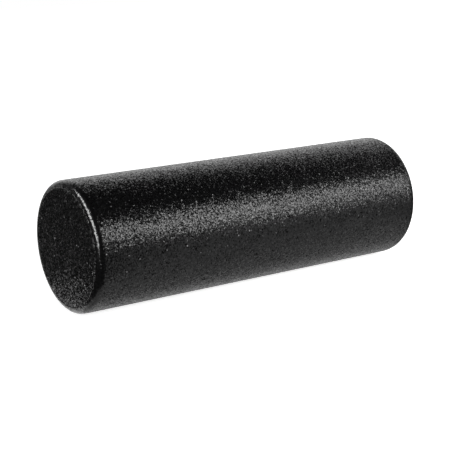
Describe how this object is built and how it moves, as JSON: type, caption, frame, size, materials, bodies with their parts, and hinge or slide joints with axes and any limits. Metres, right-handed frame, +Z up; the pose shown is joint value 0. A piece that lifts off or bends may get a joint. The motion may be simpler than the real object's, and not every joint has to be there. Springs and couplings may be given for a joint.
{
  "type": "massage roller",
  "caption": "Solid round foam roller: a plain black bead-foam cylinder with flat ends and rounded rims, for rolling muscles on the floor.",
  "frame": {"origin": "on the ground under the roller's middle, as it lies on its side", "axes": "+X along the roller's axis from one flat end to the other, +Y across it, +Z up"},
  "size_m": [0.457, 0.15, 0.15],
  "materials": {
    "bead_foam": "satin"
  },
  "bodies": {
    "root": {"foam_roller": "bead_foam"}
  },
  "joints": []
}
